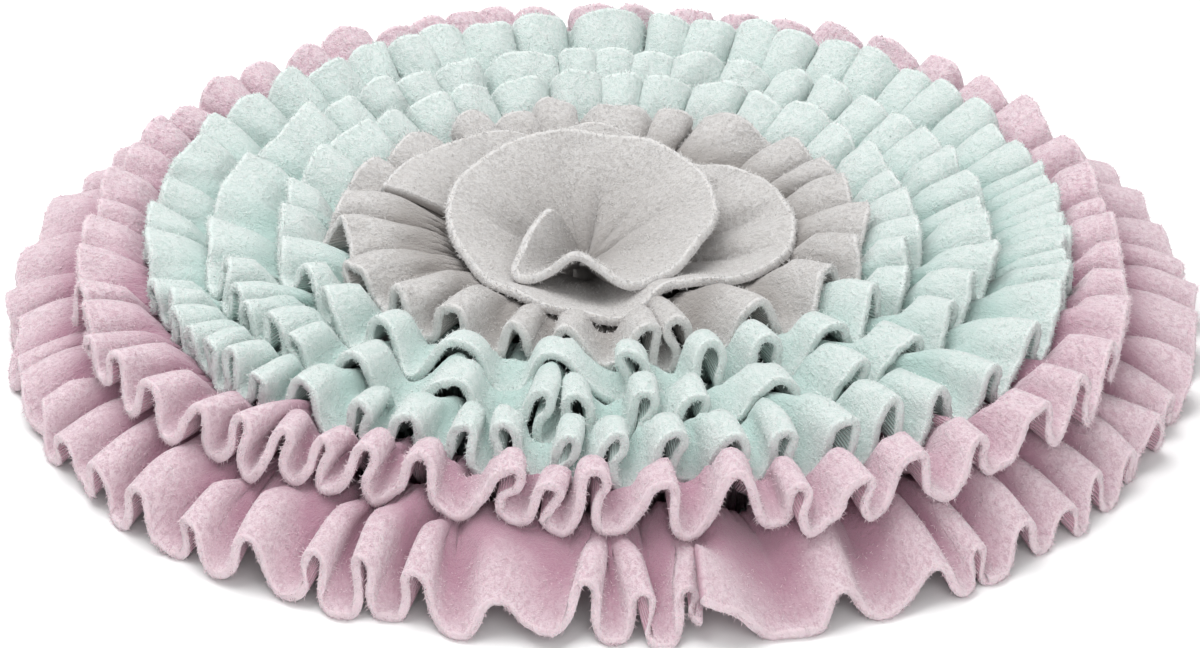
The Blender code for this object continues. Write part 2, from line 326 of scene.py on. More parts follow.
def tuckUnder(grid, heights):
    # press the cloth softly down to where it clears what lies over it
    ring, spoke = polarPlace(grid)
    ringLow = np.clip(ring.astype(int), 0, under["rings"] - 2)
    spokeLow = spoke.astype(int) % under["spokes"]
    fr, fs = ring - ringLow, spoke - spoke.astype(int)
    nextSpoke = (spokeLow + 1) % under["spokes"]
    over = (
        heights[ringLow, spokeLow] * (1 - fr) * (1 - fs)
        + heights[ringLow + 1, spokeLow] * fr * (1 - fs)
        + heights[ringLow, nextSpoke] * (1 - fr) * fs
        + heights[ringLow + 1, nextSpoke] * fr * fs
    )
    past = (grid[..., 2] - over) / under["soft"]
    straight = 20              # past this the soft curve is a straight line
    curved = np.log1p(np.exp(np.clip(past, -2 * straight, straight)))
    drop = under["soft"] * np.where(past > straight, past, curved)
    for axis, reach in under["smooth"]:
        drop = spread(spread(drop, axis, reach, np.max), axis, reach, np.mean)
    tucked = grid.copy()
    rootLevel = np.minimum(grid[..., 2], fleece["rootHeight"])
    tucked[..., 2] = np.maximum(grid[..., 2] - drop, rootLevel)
    return tucked


def spread(values, axis, reach, how):
    # the largest or the mean of each value and its neighbours along the axis
    ends = [(reach, reach) if k == axis else (0, 0) for k in range(values.ndim)]
    wide = np.pad(values, ends, mode="edge")
    size = values.shape[axis]
    rows = [np.take(wide, range(k, k + size), axis=axis) for k in range(2 * reach + 1)]
    return how(rows, axis=0)


def sheetNormals(grid):
    alongStrip = np.gradient(grid, axis=0)
    acrossStrip = np.gradient(grid, axis=1)
    normal = np.cross(acrossStrip, alongStrip)
    return normal / np.linalg.norm(normal, axis=2, keepdims=True), acrossStrip


def placed(mesh, material):
    mesh.materials.append(material)
    obj = bpy.data.objects.new(mesh.name, mesh)
    bpy.context.scene.collection.objects.link(obj)
    return obj


def clothMesh(name, grid, length, paintedShade, material):
    # a closed sheet: pile side, cut edge and knit side, with a map in metres
    half = fleece["thickness"] / 2
    normal, acrossStrip = sheetNormals(grid)
    out = acrossStrip[:, -1] / np.linalg.norm(acrossStrip[:, -1], axis=1, keepdims=True)
    width = np.concatenate([np.zeros((len(grid), 1)),
                            np.cumsum(np.linalg.norm(np.diff(grid, axis=1), axis=2), axis=1)], 1)
    rng = np.random.default_rng(len(grid))
    # deep: the painted shade of each ring of points, which the material uses on the pile side
    rings, cut, knit, deep, across = [], [], [], [], []

    def addRing(place, isCut, isKnit, shade, onStrip):
        rings.append(place)
        cut.append(isCut)
        knit.append(isKnit)
        deep.append(shade)
        across.append(onStrip)

    for k in range(grid.shape[1]):
        addRing(grid[:, k] + normal[:, k] * half, 0.0, 0.0, paintedShade[:, k], width[:, k])
    for degrees in fleece["rimAngles"]:
        angle = math.radians(degrees)
        ragged = half * (1 + fleece["ragged"] * rng.standard_normal((len(grid), 1)))
        square = 1 / max(abs(math.cos(angle)), abs(math.sin(angle))) ** fleece["rimSquare"]
        rim = normal[:, -1] * half * math.cos(angle) + out * ragged * math.sin(angle)
        onStrip = width[:, -1] + half * (1 - math.cos(angle))
        addRing(grid[:, -1] + square * rim, 1.0, 0.0, np.zeros(len(grid)), onStrip)
    for k in reversed(range(grid.shape[1])):
        addRing(grid[:, k] - normal[:, k] * half, 0.0, 1.0, np.ones(len(grid)), width[:, k])
    points = np.stack(rings, axis=1)
    columns, around = points.shape[:2]
    index = np.arange(columns * around).reshape(columns, around)
    here, ahead = index[:-1], index[1:]
    quads = np.stack([here, np.roll(here, -1, 1), np.roll(ahead, -1, 1), ahead], 2).reshape(-1, 4)
    rows = grid.shape[1]
    caps = []                  # the two short ends of the strip, closed from side to side
    for column, side in ((index[0], 1), (index[-1], -1)):
        for k in range(rows - 1):
            back = around - 1 - k
            caps.append([column[k], column[back], column[back - 1], column[k + 1]][::side])
        low, high = rows - 1, rows + len(fleece["rimAngles"])
        while high - low > 2:
            caps.append([column[low], column[high], column[high - 1], column[low + 1]][::side])
            low, high = low + 1, high - 1
        if high - low == 2:
            caps.append([column[low], column[high], column[low + 1]][::side])
    mesh = bpy.data.meshes.new(name)
    mesh.from_pydata(points.reshape(-1, 3), [], quads.tolist() + caps)
    mesh.update()
    for label, values in (("cutEdge", cut), ("knitSide", knit)):
        layer = mesh.attributes.new(label, "FLOAT", "POINT")
        layer.data.foreach_set("value", np.tile(np.array(values, np.float32), columns))
    # the painted shade, kept on the points for the fleece material
    layer = mesh.attributes.new("paintedShade", "FLOAT", "POINT")
    layer.data.foreach_set("value", np.stack(deep, 1).astype(np.float32).reshape(-1))
    place = np.stack([np.repeat(length, around), np.stack(across, 1).reshape(-1)], 1)
    loops = np.empty(len(mesh.loops), np.int32)
    mesh.loops.foreach_get("vertex_index", loops)
    layer = mesh.uv_layers.new(name="strip")
    layer.data.foreach_set("uv", place[loops].astype(np.float32).reshape(-1))
    mesh.shade_smooth()
    obj = placed(mesh, material)
    print(f"{name}: {len(mesh.polygons) * 2} triangles, strip of {length[-1]:.2f} m")
    return obj, float(np.mean(width[:, -1]))


# fine fibres that stand out of the cut edge and of the pile beside it
fibre = {
    "perMetre": 8600,
    "onEdge": 0.6,             # the share of them on the cut edge, the rest on the pile
    "edgeTurn": (0.1, 3.0),    # where round the edge, from the pile side to the knit side
    "pileFrom": 0.62,          # how far out on the pile they start
    "length": (0.0007, 0.0018),
    "width": 0.00014,
    "lean": 0.35,              # towards the free edge
    "spread": 0.6,
    "sunk": 0.0001,            # their feet in the cloth
    "lowest": 0.0002,          # above the floor
    "short": 1.001,            # they stop this many points short, inside the last face
    "shader": {"Roughness": 1.0, "Specular IOR Level": 0.1},
}


def fibreMesh(name, grid, length, material):
    # every fibre is a thin closed spike of four triangles
    rng = np.random.default_rng(len(grid) + 1)
    count = int(length[-1] * fibre["perMetre"])
    half = fleece["thickness"] / 2
    normal, acrossStrip = sheetNormals(grid)
    out = acrossStrip / np.linalg.norm(acrossStrip, axis=2, keepdims=True)
    column = rng.uniform(0, len(grid) - fibre["short"], count)
    onEdge = rng.random(count) < fibre["onEdge"]
    row = np.where(onEdge, 1.0, rng.uniform(fibre["pileFrom"], 1.0, count))
    row = row * (grid.shape[1] - fibre["short"])
    low, left = column.astype(int), row.astype(int)
    fc, fr = (column - low)[:, None], (row - left)[:, None]

    def along(field):
        near = field[low, left] * (1 - fr) + field[low, left + 1] * fr
        far = field[low + 1, left] * (1 - fr) + field[low + 1, left + 1] * fr
        return near * (1 - fc) + far * fc

    lift, away = along(normal), along(out)
    turn = np.where(onEdge, rng.uniform(*fibre["edgeTurn"], count), 0.0)[:, None]
    reach = half / np.maximum(np.abs(np.cos(turn)), np.abs(np.sin(turn))) ** fleece["rimSquare"]
    stand = lift * np.cos(turn) + away * np.sin(turn)
    foot = along(grid) + (stand * reach - stand * fibre["sunk"])
    stand = stand + fibre["lean"] * away + fibre["spread"] * rng.standard_normal((count, 3))
    stand /= np.linalg.norm(stand, axis=1, keepdims=True)
    side = np.cross(stand, rng.standard_normal((count, 3)))
    side /= np.linalg.norm(side, axis=1, keepdims=True)
    other = np.cross(stand, side)
    tip = foot + stand * rng.uniform(*fibre["length"], (count, 1))
    corners = [foot + fibre["width"] * (math.cos(t) * side + math.sin(t) * other)
               for t in (0.0, math.tau / 3, 2 * math.tau / 3)]
    points = np.stack([*corners, tip], axis=1)
    points[..., 2] = np.maximum(points[..., 2], fibre["lowest"])
    faces = np.array([(0, 2, 1), (0, 1, 3), (1, 2, 3), (2, 0, 3)])
    loops = (np.arange(count)[:, None, None] * 4 + faces[None]).reshape(-1)
    mesh = bpy.data.meshes.new(name)
    mesh.vertices.add(count * 4)
    mesh.vertices.foreach_set("co", points.astype(np.float32).reshape(-1))
    mesh.loops.add(len(loops))
    mesh.loops.foreach_set("vertex_index", loops.astype(np.int32))
    mesh.polygons.add(count * 4)
    mesh.polygons.foreach_set("loop_start", np.arange(0, len(loops), 3, dtype=np.int32))
    mesh.update(calc_edges=True)
    print(f"{name}: {len(mesh.polygons)} triangles")
    return placed(mesh, material)


def fibreMaterial(name, look):
    material = bpy.data.materials.new(name)
    material.use_nodes = True
    shader = material.node_tree.nodes["Principled BSDF"]
    # the fibres take the cut edge's colour with its painted highlight
    shader.inputs["Base Color"].default_value = (*look["edge"], 1.0)
    for key, value in fibre["shader"].items():
        shader.inputs[key].default_value = value
    return material


# brushed pile on one side, knit ribs on the other, with painted shade down in the folds and a
# painted highlight on the cut edge. Noise scales are per metre
brushed = {
    "shader": {
        "Roughness": 0.92, "Specular IOR Level": 0.2, "Sheen Weight": 0.45,
        "Sheen Roughness": 0.45, "Subsurface Weight": 0.2, "Subsurface Scale": 0.0008,
    },
    "nap": (700.0, 420.0, 1.0),     # along the strip, across it
    "napNoise": (1.0, 3.0, 0.6),    # scale, detail, roughness
    "clumps": (620.0, 4.0, 0.65), "tufts": (1900.0, 3.0, 0.7), "patches": (90.0, 2.0, 0.6),
    "grain": (0.41, 0.57), "clumpShare": 0.6,
    "worn": (0.35, 0.75), "wornShare": 0.35,
    "shadeShare": 0.95,
    "edgeGrain": (0.25, 0.5),
    "ribs": 330.0, "ribWaver": (0.6, 1.0, 2.0),    # distortion, detail, detail scale
    "clumpHeight": 0.7, "ribHeight": 0.3, "bump": 0.0022,
}


def fleeceMaterial(name, look):
    material = bpy.data.materials.new(name)
    material.use_nodes = True
    nodes, links = material.node_tree.nodes, material.node_tree.links
    shader = nodes["Principled BSDF"]
    for key, value in brushed["shader"].items():
        shader.inputs[key].default_value = value
    shader.inputs["Sheen Tint"].default_value = (*look["sheen"], 1.0)
    shader.inputs["Subsurface Radius"].default_value = look["scatter"]

    def node(kind, **settings):
        made = nodes.new(kind)
        for key, value in settings.items():
            if key in made.inputs:
                made.inputs[key].default_value = value
            else:
                setattr(made, key, value)
        return made

    def noise(kind, place):
        scale, detail, rough = brushed[kind]
        made = node("ShaderNodeTexNoise", Scale=scale, Detail=detail, Roughness=rough)
        links.new(place, made.inputs["Vector"])
        return made.outputs["Fac"]

    def maths(operation, first, second):
        made = node("ShaderNodeMath", operation=operation)
        for socket, value in zip(made.inputs, (first, second)):
            if isinstance(value, (int, float)):
                socket.default_value = value
            else:
                links.new(value, socket)
        return made.outputs[0]

    def blend(factor, first, second):
        made = node("ShaderNodeMix", data_type="RGBA")
        links.new(factor, made.inputs["Factor"])
        for socket, value in ((made.inputs[6], first), (made.inputs[7], second)):
            if isinstance(value, tuple):
                socket.default_value = (*value, 1.0)
            else:
                links.new(value, socket)
        return made.outputs[2]

    def ramp(value, kind):
        made = node("ShaderNodeMapRange", interpolation_type="SMOOTHSTEP")
        low, high = brushed[kind]
        made.inputs["From Min"].default_value = low
        made.inputs["From Max"].default_value = high
        links.new(value, made.inputs["Value"])
        return made.outputs["Result"]

    def mixed(first, second, share):
        return maths("ADD", maths("MULTIPLY", first, share), maths("MULTIPLY", second, 1 - share))

    onPiece = node("ShaderNodeTexCoord").outputs["Object"]
    onStrip = node("ShaderNodeUVMap", uv_map="strip").outputs["UV"]
    cut = node("ShaderNodeAttribute", attribute_name="cutEdge").outputs["Fac"]
    knit = node("ShaderNodeAttribute", attribute_name="knitSide").outputs["Fac"]
    paintedShade = node("ShaderNodeAttribute", attribute_name="paintedShade").outputs["Fac"]

    # brushed pile: soft clumps, finer tufts and the odd flattened patch
    stretched = node("ShaderNodeMapping", Scale=brushed["nap"])
    links.new(onStrip, stretched.inputs["Vector"])
    nap = noise("napNoise", stretched.outputs["Vector"])
    clumps = maths("MULTIPLY", maths("ADD", noise("clumps", onPiece), nap), 0.5)
    tufts = noise("tufts", onPiece)
    grain = mixed(clumps, tufts, brushed["clumpShare"])
    pile = blend(ramp(grain, "grain"), look["deep"], look["light"])
    patches = maths("MULTIPLY", ramp(noise("patches", onPiece), "worn"), brushed["wornShare"])
    pile = blend(patches, pile, look["worn"])
    # painted shade: the pile is blended towards its shade colour by the painted shade attribute
    pile = blend(maths("MULTIPLY", paintedShade, brushed["shadeShare"]), pile, look["shade"])
    # painted highlight: the cut edge is painted paler than the pile for the glow of its fuzz,
    # broken by random tufts of the worn colour
    edge = blend(ramp(tufts, "edgeGrain"), look["worn"], look["edge"])

    # knit back: ribs that run across the strip, darker and more saturated than the pile, partly its
    # own tone with less fuzz and partly painted shade for the arches and creases where it shows
    ribs = node("ShaderNodeTexWave", wave_type="BANDS", bands_direction="X", Scale=brushed["ribs"])
    for key, value in zip(("Distortion", "Detail", "Detail Scale"), brushed["ribWaver"]):
        ribs.inputs[key].default_value = value
    links.new(onStrip, ribs.inputs["Vector"])
    back = blend(ribs.outputs["Fac"], look["ribDeep"], look["ribLight"])

    colour = blend(knit, pile, back)
    colour = blend(cut, colour, edge)
    links.new(colour, shader.inputs["Base Color"])

    raised = mixed(clumps, tufts, brushed["clumpHeight"])
    ribbed = maths("MULTIPLY", maths("MULTIPLY", ribs.outputs["Fac"], brushed["ribHeight"]), knit)
    bump = node("ShaderNodeBump", Strength=1.0, Distance=brushed["bump"])
    links.new(maths("ADD", raised, ribbed), bump.inputs["Height"])
    links.new(bump.outputs["Normal"], shader.inputs["Normal"])
    return material


# colours of each fleece: shade is painted shade for the folds and roots, edge a painted highlight
# for the cut edge, and the darker knit back is partly its own tone and partly painted shade
looks = {
    "pink": {
        "deep": (0.66, 0.46, 0.53), "light": (0.88, 0.73, 0.78), "worn": (0.77, 0.59, 0.65),
        "edge": (0.90, 0.74, 0.79), "ribDeep": (0.58, 0.30, 0.39), "ribLight": (0.76, 0.48, 0.57),
        "shade": (0.48, 0.25, 0.335), "sheen": (1.0, 0.97, 0.98), "scatter": (1.0, 0.5, 0.65),
    },
    "mint": {
        "deep": (0.62, 0.73, 0.70), "light": (0.79, 0.855, 0.835), "worn": (0.71, 0.79, 0.77),
        "edge": (0.84, 0.915, 0.89), "ribDeep": (0.52, 0.69, 0.64), "ribLight": (0.65, 0.78, 0.74),
        "shade": (0.50, 0.67, 0.63), "sheen": (0.97, 1.0, 0.99), "scatter": (0.7, 1.0, 0.92),
    },
    "grey": {
        "deep": (0.50, 0.48, 0.47), "light": (0.71, 0.695, 0.685), "worn": (0.60, 0.58, 0.57),
        "edge": (0.80, 0.785, 0.775), "ribDeep": (0.47, 0.44, 0.42), "ribLight": (0.59, 0.56, 0.54),
        "shade": (0.33, 0.305, 0.29), "sheen": (1.0, 0.98, 0.96), "scatter": (1.0, 0.9, 0.8),
    },
}
materials = {colour: fleeceMaterial(colour + "Fleece", look) for colour, look in looks.items()}
fibreMaterials = {colour: fibreMaterial(colour + "Fibres", look) for colour, look in looks.items()}
print("materials made")


# base cloth: a plain round of the same fleece, flat on the floor, under the roots of all the rows
baseCloth = {
    "node": "base_cloth", "radius": 0.153, "sides": 180,
    "edgeRound": 0.0008, "edgeSegments": 3, "smoothAngle": 40.0,
}


def makeBase():
    bpy.ops.object.select_all(action="DESELECT")
    bpy.ops.mesh.primitive_cylinder_add(
        vertices=baseCloth["sides"], radius=baseCloth["radius"], depth=fleece["thickness"],
        location=(0, 0, fleece["thickness"] / 2), calc_uvs=False)
    obj = bpy.context.object
    obj.name = obj.data.name = "base_cloth_round"
    bevel = obj.modifiers.new("cut edge", "BEVEL")
    bevel.width = baseCloth["edgeRound"]
    bevel.segments = baseCloth["edgeSegments"]
    bpy.ops.object.modifier_apply(modifier=bevel.name)
    bpy.ops.object.transform_apply(location=True, rotation=True, scale=True)
    bpy.ops.object.shade_smooth_by_angle(angle=math.radians(baseCloth["smoothAngle"]))
    obj.data.materials.append(materials["grey"])
    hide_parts(baseCloth["node"])
    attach(obj, "root")
    print("base cloth made")


makeBase()

# how a row lies: this far above the floor, lifted over the base cloth, and where it slopes down
# from the one to the other
frillRest = {"above": 0.0002, "overBase": 0.0020, "pastBase": 0.0035, "slope": 0.0020}


def finishRow(row, grid, length, paintedShade):
    # the cloth and its fibres, in place of the row's solid
    addToUnder(grid)
    colour = row["colour"]
    cloth, width = clothMesh(row["node"] + "_cloth", grid, length, paintedShade, materials[colour])
    pile = fibreMesh(row["node"] + "_pile", grid, length, fibreMaterials[colour])
    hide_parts(row["node"])
    for piece in (cloth, pile):
        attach(piece, "root")


def makeFrill(frill):
    grid, length, paintedShade = frillGrid(frill)
    gap = fleece["thickness"] + fleece["clearance"]
    grid = tuckUnder(grid, loweredUnder(gap))
    inside = baseCloth["radius"] + frillRest["pastBase"] - np.hypot(grid[..., 0], grid[..., 1])
    lift = np.clip(inside / frillRest["slope"], 0.0, 1.0) * frillRest["overBase"]
    floorLimit = fleece["thickness"] / 2 + frillRest["above"] + lift
    grid[..., 2] = np.maximum(grid[..., 2], floorLimit)
    finishRow(frill, grid, length, paintedShade)


# The rosette: one strip wound anticlockwise from its inner end. Stations: degree and radius of
# the free edge about the rosette's own middle, its height, and the radius of the root
rosette = {
    "node": "rosette_grey", "colour": "grey",
    "middle": (-0.005, 0.0), "rootHeight": 0.0040, "columnStep": 0.0011, "acrossPoints": 30,
    "stem": 9,                 # of those points, from the root to the neck
    "measure": 2600,           # points at which the free edge is measured
    "stemPull": (0.3, 0.4),    # where the stem's curve leaves its root, of the way out and up
    "neckPull": (0.0006, 0.006),    # and how far in and below the neck it arrives
    "flareStart": (0.06, 0.30),     # the same for the flare, of its width and of its rise
    "flareEnd": 0.45,
    "pleatSides": (2.2, 0.8),  # a pleat is steeper after its middle than before it
    "pleatCurve": 6.7,         # brings a pleat to its full depth between neck and edge
    "dents": (5, 2.5, 0.2, 0.9),    # seed, stretch along, depth at the neck, growth to the edge
    "shadeReach": 0.95,
    "stations": (
        (200, 0.01, 0.041, 0.003), (228, 0.026, 0.0385, 0.0043),
        (244, 0.044, 0.0365, 0.0055), (256, 0.0405, 0.0385, 0.0068),
        (266, 0.037, 0.041, 0.008), (278, 0.041, 0.039, 0.0093),
        (288, 0.047, 0.036, 0.0105), (300, 0.046, 0.0365, 0.0118),
        (320, 0.043, 0.038, 0.0124), (345, 0.042, 0.04, 0.013),
        (378, 0.042, 0.0415, 0.0143), (410, 0.043, 0.0435, 0.0155),
        (450, 0.043, 0.045, 0.0168), (485, 0.043, 0.044, 0.018),
        (515, 0.042, 0.042, 0.0192), (545, 0.042, 0.04, 0.0205),
        (575, 0.045, 0.038, 0.0218), (600, 0.051, 0.0355, 0.023),
        (622, 0.056, 0.0335, 0.0243), (642, 0.0605, 0.0325, 0.0251),
        (650, 0.056, 0.0345, 0.0254), (659, 0.0525, 0.0365, 0.0257),
        (668, 0.0545, 0.0355, 0.026), (677, 0.0585, 0.0345, 0.0263),
        (699, 0.066, 0.0345, 0.0269), (715, 0.0668, 0.035, 0.0274),
        (738, 0.0645, 0.036, 0.028), (757, 0.0595, 0.0355, 0.0286),
        (772, 0.056, 0.034, 0.0293), (790, 0.06, 0.0355, 0.0299),
        (812, 0.062, 0.0375, 0.0305), (822, 0.06, 0.035, 0.0309),
        (834, 0.065, 0.037, 0.0313), (850, 0.066, 0.0375, 0.0318),
        (872, 0.067, 0.037, 0.0324), (882, 0.067, 0.0365, 0.033),
    ),
    # degree, radius and height of the neck where the strip is drawn in, and the steepness
    # of the flare where it reaches the free edge
    "necks": (
        (200, 0.0016, 0.0215, 0.6), (278, 0.0028, 0.0195, 0.38),
        (380, 0.0038, 0.0185, 0.5), (560, 0.0075, 0.0175, 0.45),
        (640, 0.01, 0.0175, 0.25), (720, 0.018, 0.0185, 0.18),
        (882, 0.026, 0.019, 0.15),
    ),
    # soft pleats: degree, depth, width in degrees, 0 near the neck or 1 near the free edge
    "pleats": (
        (377, 0.002, 14, 0), (402, 0.0014, 13, 1),
        (436, 0.0042, 15, 0), (462, 0.0026, 15, 1),
        (500, 0.0022, 16, 0), (533, 0.0056, 17, 0),
        (664, 0.0025, 7, 0), (706, 0.004, 7, 1),
        (731, 0.0052, 7, 1), (755, 0.0056, 7, 1),
        (780, 0.005, 7, 1), (846, 0.003, 9, 1),
    ),
}


def smoothStations(stations, degrees):
    # each column of the table read smoothly at these degrees
    table = np.array(stations)
    x = table[:, 0]
    slopes = np.gradient(table[:, 1:], x, axis=0)
    k = np.clip(np.searchsorted(x, degrees) - 1, 0, len(x) - 2)
    h = (x[k + 1] - x[k])[:, None]
    t = ((degrees - x[k])[:, None]) / h
    return (
        table[k, 1:] * (2 * t**3 - 3 * t**2 + 1) + slopes[k] * h * (t**3 - 2 * t**2 + t)
        + table[k + 1, 1:] * (3 * t**2 - 2 * t**3) + slopes[k + 1] * h * (t**3 - t**2)
    )


def bezier(points, t):
    a, b, c, d = points
    return a * (1 - t)**3 + 3 * b * t * (1 - t)**2 + 3 * c * t * t * (1 - t) + d * t**3


def makeRosette():
    # each section goes up from its root to a drawn-in neck, then flares to the free edge
    first, last = rosette["stations"][0][0], rosette["stations"][-1][0]
    degrees = np.linspace(first, last, rosette["measure"])
    radius, height, root = smoothStations(rosette["stations"], degrees).T
    turn = np.radians(degrees)
    rim = np.stack([radius * np.cos(turn), radius * np.sin(turn), height], 1)
    length = np.concatenate([[0], np.cumsum(np.linalg.norm(np.diff(rim, axis=0), axis=1))])
    count = round(length[-1] / rosette["columnStep"])
    degrees = np.interp(np.linspace(0, length[-1], count), length, degrees)
    radius, height, root = (c[:, None] for c in smoothStations(rosette["stations"], degrees).T)
    necks = np.array(rosette["necks"])
    neck, neckHeight, slope = (np.interp(degrees, necks[:, 0], necks[:, k])[:, None]
                               for k in (1, 2, 3))
    length = np.linspace(0, length[-1], count)
    low = rosette["rootHeight"]
    stem = rosette["stem"]
    t = np.linspace(0, 1, stem, endpoint=False)[None, :]
    pullOut, pullUp = rosette["stemPull"]
    neckIn, neckBelow = rosette["neckPull"]
    stemOut = bezier((root, root * (1 - pullOut) + neck * pullOut, neck - neckIn, neck), t)
    stemUp = bezier((low, low * (1 - pullUp) + neckHeight * pullUp,
                     neckHeight - neckBelow, neckHeight), t)
    t = np.linspace(0, 1, rosette["acrossPoints"] - stem)[None, :]
    reach = radius - neck
    startOut, startUp = rosette["flareStart"]
    end = rosette["flareEnd"]
    flareOut = bezier((neck, neck + startOut * reach, radius - end * reach, radius), t)
    flareUp = bezier((neckHeight, neckHeight + startUp * (height - neckHeight),
                      height - end * reach * slope, height), t)
    for at, depth, width, outside in rosette["pleats"]:
        across = (degrees[:, None] - at) / width
        across = across * np.where(across > 0, *rosette["pleatSides"])
        deepest = t if outside else 1 - t
        pleat = depth * np.exp(-across * across) * rosette["pleatCurve"]
        flareUp = flareUp - pleat * t * (1 - t) * deepest
    seed, stretch, atNeck, growth = rosette["dents"]
    dent = softDents(seed, length[:, None] / stretch, t * reach)
    flareUp = flareUp + dent * (atNeck + growth * t)
    out, up = np.concatenate([stemOut, flareOut], 1), np.concatenate([stemUp, flareUp], 1)
    turn = np.radians(degrees)[:, None]
    x = rosette["middle"][0] + out * np.cos(turn)
    y = rosette["middle"][1] + out * np.sin(turn)
    grid = np.stack([x, y, up], axis=2)
    # painted shade: full down the stem and at the neck, fading out towards the free edge
    shade = 1 - np.concatenate([np.zeros(stem), t[0]]) / rosette["shadeReach"]
    paintedShade = np.broadcast_to(np.clip(shade, 0, 1), grid.shape[:2])
    # the strip is cut on a curve, short along its root, so its area is that of the bowl
    finishRow(rosette, grid, length, paintedShade)


makeRosette()

# The frills, from the inside out. Early: how near the root the strip swells most, 0 at it. Root
# fold: the share of the folds' height at the root. Start and end: degree, and 1 crest to -1 valley
# Around: degree, rise of the free edge, how far it is let out, how far the strip swells off the
# straight line from root to edge, and the fullness of its folds (below 1 broad crests)
# Runs: degree where the run ends in a valley, folds (0.5 for a single wall), their height, where
# the crest stands between its valleys (0 middle, 1 over the next), radius of the free edge
greyOuter = {
    "node": "frill_grey_outer", "colour": "grey", "seed": 16,
    "rootRadius": 0.0435, "edgeHeight": 0.0336,
    "early": 0.2, "rootFold": 0.3, "lobe": 0.0010, "step": 0.0015,
    "around": (
        (0, 0, 0, 0.017, 0.8), (90, -0.001, 0, 0.015, 0.5),
        (180, 0, 0, 0.02, 0.7), (225, 0, 0, 0.021, 1.0),
        (270, 0.0005, 0, 0.0215, 1.25), (315, 0, 0, 0.02, 1.0),
    ),
    "start": (128.6, -1.0), "end": (486.0, -1.0),
    "runs": (
        (150, 1, 0.012, 0, 0.082), (170, 1, 0.011, -0.6, 0.083),
        (216, 3, 0.011, -0.7, 0.082), (246, 2, 0.0125, -0.2, 0.081),
        (257.6, 1, 0.012, 0.1, 0.081), (271.4, 1, 0.01, -0.15, 0.082),
        (284.3, 1, 0.015, 0.45, 0.082), (293.8, 1, 0.0165, -0.4, 0.08),
        (314, 1, 0.014, 0.3, 0.083), (336, 1, 0.012, 0.5, 0.083),
        (378, 3, 0.0105, 0.7, 0.083), (402.9, 2, 0.0115, 0.2, 0.083),
        (428.1, 1, 0.011, 0.1, 0.083), (435.5, 1, 0.01, 0, 0.081),
        (455.7, 1, 0.008, 0, 0.082), (464.6, 1, 0.011, 0, 0.081),
        (476.4, 1, 0.011, 0, 0.081), (486, 1, 0.011, 0, 0.082),
    ),
}
makeFrill(greyOuter)

mintInner = {
    "node": "frill_mint_inner", "colour": "mint", "seed": 15,
    "rootRadius": 0.066, "edgeHeight": 0.0332,
    "early": 0.22, "rootFold": 0.22, "lobe": 0.0012, "step": 0.0015,
    "around": (
        (0, -0.0005, 0, 0.012, 0.7), (90, 0.0015, 0.002, 0.008, 0.5),
        (180, 0, 0, 0.012, 0.7), (225, 0, 0, 0.02, 1.1),
        (270, 0.0005, 0, 0.024, 1.3), (315, 0, 0, 0.02, 1.1),
    ),
    "start": (30.0, -0.4), "end": (388.0, -1.0),
    "runs": (
        (51, 2, 0.012, 0.2, 0.1), (59.4, 1, 0.011, 0.1, 0.1),
        (71.6, 1, 0.012, 0.1, 0.101), (81.8, 1, 0.011, 0, 0.1),
        (89.4, 1, 0.0105, 0, 0.1), (98.8, 1, 0.011, 0, 0.1),
        (110.8, 1, 0.011, 0, 0.1), (120.8, 1, 0.011, 0, 0.1),
        (140, 2, 0.0115, -0.2, 0.1), (168, 2, 0.0115, -0.6, 0.1),
        (200, 3, 0.011, -0.8, 0.1), (236, 3, 0.0125, -0.5, 0.099),
        (254.3, 1, 0.015, 0, 0.099), (273.6, 1, 0.013, -0.18, 0.099),
        (282.6, 1, 0.0165, -0.6, 0.1), (292.8, 1, 0.015, 0.6, 0.101),
        (304, 1, 0.014, 0.4, 0.101), (330, 2, 0.0125, 0.7, 0.101),
        (388, 6, 0.011, 0.75, 0.1),
    ),
}
makeFrill(mintInner)

mintMiddle = {
    "node": "frill_mint_middle", "colour": "mint", "seed": 14,
    "rootRadius": 0.088, "edgeHeight": 0.0322,
    "early": 0.22, "rootFold": 0.22, "lobe": 0.0015, "step": 0.0020,
    "around": (
        (0, -0.0005, 0, 0.012, 0.7), (90, 0.002, 0.001, 0.008, 0.5),
        (180, 0, 0, 0.012, 0.7), (225, 0, 0, 0.02, 1.2),
        (270, 0.0005, 0, 0.0235, 1.3), (315, 0, 0, 0.02, 1.1),
    ),
    "start": (53.0, -0.4), "end": (411.4, -1.0),
    "runs": (
        (60.2, 1, 0.012, 0.1, 0.121), (68.8, 1, 0.012, 0.1, 0.121),
        (77.5, 1, 0.0115, 0.1, 0.121), (84.4, 1, 0.011, 0, 0.121),
        (90.7, 1, 0.0105, 0, 0.121), (95.7, 1, 0.0105, 0, 0.121),
        (108.9, 1, 0.012, -0.05, 0.122), (117.7, 1, 0.011, 0, 0.121),
        (140, 3, 0.012, -0.2, 0.121), (160, 1, 0.0125, -0.6, 0.122),
        (180, 1, 0.0125, -0.8, 0.122), (196, 1, 0.0125, -0.85, 0.122),
        (226, 5, 0.012, -0.7, 0.121), (240, 1, 0.0145, 0, 0.12),
        (256.3, 1, 0.0145, 0.1, 0.12), (263.3, 1, 0.0155, 0.7, 0.121),
        (271.6, 1, 0.016, -0.1, 0.122), (277.2, 1, 0.012, 1, 0.122),
        (285.8, 1, 0.012, 0.6, 0.123), (300, 1, 0.0145, 0.5, 0.124),
        (322, 2, 0.0135, 0.6, 0.124), (360, 4, 0.0115, 0.8, 0.123),
        (411.4, 7, 0.0115, 0.5, 0.122),
    ),
}
makeFrill(mintMiddle)

